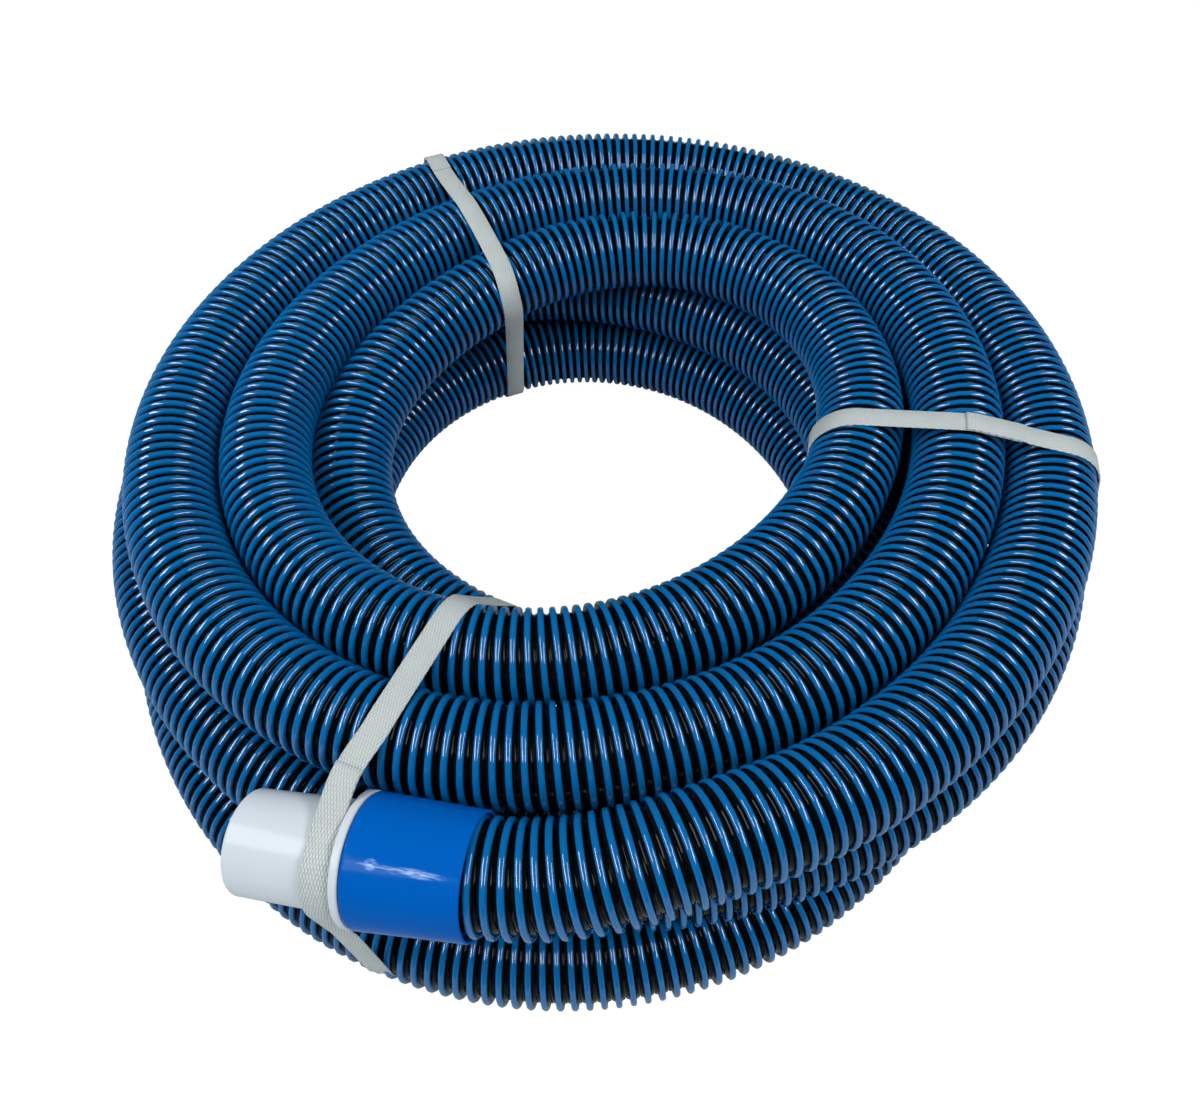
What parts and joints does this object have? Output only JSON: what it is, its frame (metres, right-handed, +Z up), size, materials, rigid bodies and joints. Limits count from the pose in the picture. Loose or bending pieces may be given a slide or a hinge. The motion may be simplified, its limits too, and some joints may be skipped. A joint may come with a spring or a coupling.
{
  "type": "vacuum hose",
  "caption": "Coiled ribbed pool vacuum hose with a swivel cuff on its outer end and a fixed cuff on its inner end, held by flat straps.",
  "frame": {"origin": "middle of the coil's bounding box, on the surface that the straps lie on", "axes": "+Z up, out of the flat coil; +Y away from the side that the swivel cuff lies on; +X to the right when looking along +Y"},
  "size_m": [0.5488, 0.5589, 0.1502],
  "materials": {
    "hose": "glossy blue ribs on a near-black blue web",
    "nozzle": "glossy white",
    "seal": "black rubber",
    "clip": "natural plastic",
    "sleeve": "glossy blue",
    "fixed_cuff": "glossy blue",
    "strap": "pale grey-green woven tape"
  },
  "bodies": {
    "coil": {"hose": "hose", "swivel_sleeve": "sleeve", "fixed_cuff": "fixed_cuff", "strap_front": "strap", "strap_right": "strap", "strap_back": "strap"},
    "swivel": {"swivel_nozzle": "nozzle", "seal_ring": "seal", "retaining_ring": "clip"}
  },
  "joints": [
    {"name": "swivel_spin", "type": "hinge", "parent": "coil", "child": "swivel", "pos_m": [-0.13828, -0.23359, 0.10986], "axis": [-0.9785, 0.1725, -0.1132], "continuous": true}
  ]
}
